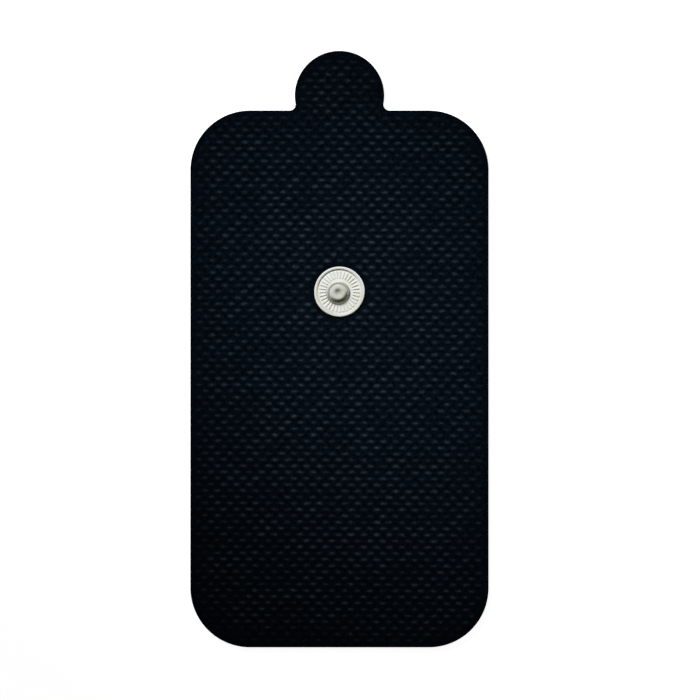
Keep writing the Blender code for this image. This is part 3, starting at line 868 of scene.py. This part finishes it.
def cast_hydrogel(finishes):
    """Hydrogel, cast and cured on the film: mostly water, clear and wet, a little milky."""
    material, tree = new_material("hydrogel")
    at = add_node(tree, "ShaderNodeTexCoord").outputs["Object"]
    cloud = add_node(tree, "ShaderNodeTexNoise", {"Vector": at, "Scale": per_mm(6.0), "Detail": 3.0})
    milky = add_node(
        tree, "ShaderNodeMix",
        {0: cloud, 6: opaque(finishes.gel, 0.88), 7: opaque(finishes.gel)}, data_type="RGBA",
    )
    wet = add_node(tree, "ShaderNodeMapRange", {"Value": cloud, "To Min": 0.10, "To Max": 0.20})
    ripple = add_node(tree, "ShaderNodeTexNoise", {"Vector": at, "Scale": per_mm(1.2), "Detail": 2.0})
    bump = add_node(tree, "ShaderNodeBump", {"Strength": 0.15, "Distance": 0.05 * MM, "Height": ripple})
    surface = add_node(
        tree, "ShaderNodeBsdfPrincipled",
        {
            "Base Color": milky.outputs[2], "Roughness": wet, "IOR": 1.37,
            "Transmission Weight": 0.75, "Normal": bump,
        },
    )
    return coated(material, surface)


def nickel_plate(finishes):
    """Bright nickel over stamped brass, tumbled in a barrel: satin, with fine dents and duller places, which
    are also darkened as painted shade.
    """
    material, tree = new_material("nickel_plate")
    at = add_node(tree, "ShaderNodeTexCoord").outputs["Object"]
    # Tumbling leaves marks of about 0.05 mm, drawn at 0.12 mm to show
    dents = add_node(tree, "ShaderNodeTexNoise", {"Vector": at, "Scale": per_mm(0.12), "Detail": 2.0})
    painted_shade_and_dull = add_node(
        tree, "ShaderNodeAttribute", attribute_name="painted_shade_and_dull", attribute_type="GEOMETRY",
    ).outputs["Fac"]
    worn = add_node(tree, "ShaderNodeMapRange", {"Value": dents, "To Min": -0.08, "To Max": 0.08})
    base = add_node(tree, "ShaderNodeMath", {0: worn, 1: finishes.nickel_roughness}, operation="ADD")
    rough = add_node(tree, "ShaderNodeMath", {0: painted_shade_and_dull, 1: 0.28, 2: base}, operation="MULTIPLY_ADD")
    # Handling leaves the plate a little yellow in places
    patina = add_node(tree, "ShaderNodeTexNoise", {"Vector": at, "Scale": per_mm(2.2), "Detail": 3.0})
    patina = add_node(tree, "ShaderNodeMapRange", {"Value": patina, "From Min": 0.35, "From Max": 0.65})
    plate = add_node(
        tree, "ShaderNodeMix",
        {0: patina, 6: opaque(finishes.nickel), 7: opaque(finishes.nickel_patina)}, data_type="RGBA",
    )
    # The mask darkens the plate towards a dark, yellowed tone: painted shade in the grooves, on the head and
    # rim, and the head's painted shadow
    tone = add_node(
        tree, "ShaderNodeMix",
        {0: painted_shade_and_dull, 6: plate.outputs[2], 7: opaque(finishes.nickel_patina, 0.33)}, data_type="RGBA",
    )
    bump = add_node(tree, "ShaderNodeBump", {"Strength": 0.12, "Distance": 0.01 * MM, "Height": dents})
    surface = add_node(
        tree, "ShaderNodeBsdfPrincipled",
        {
            "Base Color": tone.outputs[2], "Metallic": 1.0, "Roughness": rough,
            "Normal": bump,
        },
    )
    return coated(material, surface)


def white_vinyl(finishes):
    """Punched vinyl sheet: white, matt and very slightly grained."""
    material, tree = new_material("white_vinyl")
    at = add_node(tree, "ShaderNodeTexCoord").outputs["Object"]
    grain = add_node(tree, "ShaderNodeTexNoise", {"Vector": at, "Scale": per_mm(0.4), "Detail": 3.0})
    tone = add_node(
        tree, "ShaderNodeMix",
        {0: grain, 6: opaque(finishes.vinyl, 0.9), 7: opaque(finishes.vinyl)}, data_type="RGBA",
    )
    bump = add_node(tree, "ShaderNodeBump", {"Strength": 0.2, "Distance": 0.01 * MM, "Height": grain})
    surface = add_node(
        tree, "ShaderNodeBsdfPrincipled",
        {"Base Color": tone.outputs[2], "Roughness": 0.5, "Normal": bump},
    )
    return coated(material, surface)


def seen_directly(tree):
    """1 for rays from the camera, a mirror-like bounce or glass, and 0 for the rest."""
    path = add_node(tree, "ShaderNodeLightPath")
    first = add_node(
        tree, "ShaderNodeMath", {0: path.outputs["Is Camera Ray"], 1: path.outputs["Is Glossy Ray"]},
        operation="MAXIMUM",
    )
    return add_node(
        tree, "ShaderNodeMath", {0: first, 1: path.outputs["Is Transmission Ray"]}, operation="MAXIMUM",
    )


def pale_floor():
    """Matt white card, lifted to plain white where it is seen, so that only the pad's shadow is left."""
    material, tree = new_material("floor_card")
    at = add_node(tree, "ShaderNodeTexCoord").outputs["Object"]
    pulp = add_node(tree, "ShaderNodeTexNoise", {"Vector": at, "Scale": per_mm(2.0), "Detail": 2.0})
    tone = add_node(
        tree, "ShaderNodeMix", {0: pulp, 6: (0.78, 0.78, 0.78, 1), 7: (0.82, 0.82, 0.82, 1)},
        data_type="RGBA",
    )
    card = add_node(tree, "ShaderNodeBsdfDiffuse", {"Color": tone.outputs[2]})
    lift = add_node(tree, "ShaderNodeMath", {0: seen_directly(tree), 1: FLOOR_LIFT}, operation="MULTIPLY")
    glow = add_node(tree, "ShaderNodeEmission", {"Color": (1, 1, 1, 1), "Strength": lift})
    both = add_node(tree, "ShaderNodeAddShader", {0: card, 1: glow})
    return coated(material, both)


def dark_card():
    """Black card, matt."""
    material, tree = new_material("black_card")
    card = add_node(tree, "ShaderNodeBsdfDiffuse", {"Color": (0.03, 0.03, 0.025, 1)})
    return coated(material, card)


def bright_card():
    """White card that glows by itself, seen only as the metal mirrors it."""
    material, tree = new_material("glowing_card")
    glow = add_node(tree, "ShaderNodeEmission", {"Color": (1, 1, 1, 1), "Strength": CARD_GLOW})
    return coated(material, glow)


def stand_card(name, away, foot, head, half_width, material):
    """A card that the camera doesn't see, out from the pad, square to its direction, upright or leaning."""
    across = Vector((away[1], -away[0], 0.0)) * half_width
    low, high = (Vector((away[0] * out, away[1] * out, up)) for out, up in (foot, head))
    mesh = bpy.data.meshes.new(name)
    mesh.from_pydata([low - across, low + across, high + across, high - across], [], [(0, 1, 2, 3)])
    mesh.materials.append(material)
    card = linked(name, mesh)
    card.visible_camera = False
    return card


def light_world(level):
    """A white room: white where it is seen, and plain grey as a light."""
    world = bpy.data.worlds.new("white_room")
    world.use_nodes = True
    tree = world.node_tree
    tree.nodes.clear()
    strength = add_node(tree, "ShaderNodeMix", {0: seen_directly(tree), 2: level, 3: 1.0}, data_type="FLOAT")
    room = add_node(tree, "ShaderNodeBackground", {"Color": (1, 1, 1, 1), "Strength": strength})
    add_node(tree, "ShaderNodeOutputWorld", {0: room})
    bpy.context.scene.world = world


def settings():
    """The scene's sizes, finishes and stage settings."""
    scene = bpy.context.scene
    return scene.pad_sizes, scene.pad_finishes, scene.pad_stage


class PAD_OT_backing_cloth(bpy.types.Operator):
    """Makes the embossed backing cloth"""

    bl_idname = "electrode_pad.backing_cloth"
    bl_label = "Backing cloth"

    def execute(self, context):
        sizes, finishes, _ = settings()
        cloth = make_backing_cloth(sizes, nonwoven_cloth(finishes, sizes))
        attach(cloth, BODY)
        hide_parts("backing_cloth")
        cell = 0.1
        x, y = np.meshgrid(np.arange(-HALF_WIDTH, HALF_WIDTH, cell), np.arange(BODY_BOTTOM, TAB_TOP, cell))
        area = float((depth_inside(x, y) > 0).sum()) * (cell * MM) ** 2
        return {"FINISHED"}


class PAD_OT_layers(bpy.types.Operator):
    """Makes the carbon film and the gel under the cloth"""

    bl_idname = "electrode_pad.layers"
    bl_label = "Film and gel"

    def execute(self, context):
        _, finishes, _ = settings()
        post_hole = [(POST_HOLE, FILM_HIGH[2]), (POST_HOLE, FILM_LOW[2])]
        film = make_layer(
            "film_layer", FILM_LOW[2], FILM_HIGH[2], 0.0, FILM_ROUNDING, post_hole, carbon_film(finishes),
        )
        on_film = DISC_HIGH[2] - DISC_THICKNESS - BOND_GAP
        disc_hollow = [
            (DISC_RADIUS + FIT_CLEARANCE, GEL_HIGH[2]),
            (DISC_RADIUS + FIT_CLEARANCE, on_film),
            (EYELET_RADIUS + FIT_CLEARANCE + DISC_STEP, on_film),
            (EYELET_RADIUS + FIT_CLEARANCE, DISC_LOW[2] - BOND_GAP),
        ]
        gel = make_layer(
            "gel_layer", GEL_LOW[2], GEL_HIGH[2], HALF_WIDTH - GEL_HIGH[0], GEL_ROUNDING, disc_hollow,
            cast_hydrogel(finishes), with_tab=False,
        )
        for piece, node, slot in ((film, "conductive_film", "carbon_film"), (gel, "hydrogel", "hydrogel")):
            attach(piece, BODY)
            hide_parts(node)
        return {"FINISHED"}


class PAD_OT_snap(bpy.types.Operator):
    """Makes the snap's stud and eyelet, and finishes the insulating disc"""

    bl_idname = "electrode_pad.snap"
    bl_label = "Snap"

    def execute(self, context):
        sizes, finishes, _ = settings()
        plate = nickel_plate(finishes)
        stud = make_snap_stud(sizes, plate)
        eyelet = make_snap_eyelet(plate)
        for piece, node in ((stud, "snap_stud"), (eyelet, "snap_eyelet")):
            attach(piece, BODY)
            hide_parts(node)
        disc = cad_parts["insulating_disc"]
        disc.data.materials.clear()
        disc.data.materials.append(white_vinyl(finishes))
        return {"FINISHED"}


class PAD_OT_stage(bpy.types.Operator):
    """Sets up the floor, the room's light, the key lamp, the cards and the camera"""

    bl_idname = "electrode_pad.stage"
    bl_label = "Stage"

    def execute(self, context):
        _, _, stage = settings()
        scene = context.scene
        scene.view_settings.view_transform = "Standard"
        signs = ((-1, -1), (1, -1), (1, 1), (-1, 1))
        corners = [(x * FLOOR_HALF, y * FLOOR_HALF, -FLOOR_DROP) for x, y in signs]
        mesh = bpy.data.meshes.new("floor")
        mesh.from_pydata(corners, [], [(0, 1, 2, 3)])
        mesh.materials.append(pale_floor())
        floor = linked("floor", mesh)
        light_world(stage.sky_level)

        lamp = bpy.data.lights.new("key_lamp", "SPOT")
        lamp.energy = stage.key_power
        lamp.shadow_soft_size = KEY_RADIUS
        lamp.spot_size = KEY_CONE
        lamp.spot_blend = 1.0
        key = linked("key_lamp", lamp)
        key.visible_glossy = False
        key.location = KEY_PLACE
        key.rotation_euler = (Vector(KEY_AIM) - Vector(KEY_PLACE)).to_track_quat("-Z", "Y").to_euler()

        # For the metal to mirror: a dark card leans over from below, and a bright one stands opposite
        stand_card("dark_card", *DARK_CARD, dark_card())
        bright = stand_card("bright_card", *BRIGHT_CARD, bright_card())
        bright.visible_diffuse = False
        bright.visible_shadow = False

        lens = bpy.data.cameras.new("camera")
        lens.sensor_width = SENSOR_WIDTH
        lens.lens = lens.sensor_width * stage.camera_height / stage.frame_width
        lens.clip_start, lens.clip_end = CLIP_START, CLIP_END
        camera = linked("camera", lens)
        camera.location = (stage.camera_x, stage.camera_y, stage.camera_height + CLOTH_HIGH[2] * MM)
        scene.camera = camera
        return {"FINISHED"}


class PAD_PT_sidebar(bpy.types.Panel):
    """Sizes, finishes and the operators that make the pad"""

    bl_idname = "PAD_PT_sidebar"
    bl_label = "Electrode Pad"
    bl_space_type = "VIEW_3D"
    bl_region_type = "UI"
    bl_category = "Electrode Pad"

    def draw(self, context):
        for operator in OPERATORS:
            self.layout.operator(operator.bl_idname)
        for group in (context.scene.pad_sizes, context.scene.pad_finishes, context.scene.pad_stage):
            box = self.layout.box()
            for name in group.__annotations__:
                box.prop(group, name)


OPERATORS = (PAD_OT_stage, PAD_OT_backing_cloth, PAD_OT_layers, PAD_OT_snap)
CLASSES = (PadSizes, PadFinishes, PadStage, *OPERATORS, PAD_PT_sidebar)


def register():
    for cls in CLASSES:
        bpy.utils.register_class(cls)
    bpy.types.Scene.pad_sizes = PointerProperty(type=PadSizes)
    bpy.types.Scene.pad_finishes = PointerProperty(type=PadFinishes)
    bpy.types.Scene.pad_stage = PointerProperty(type=PadStage)


def unregister():
    del bpy.types.Scene.pad_stage
    del bpy.types.Scene.pad_finishes
    del bpy.types.Scene.pad_sizes
    for cls in reversed(CLASSES):
        bpy.utils.unregister_class(cls)


def main():
    register()
    bpy.ops.electrode_pad.stage()
    bpy.ops.electrode_pad.backing_cloth()
    bpy.ops.electrode_pad.layers()
    bpy.ops.electrode_pad.snap()


if __name__ == "__main__":
    main()
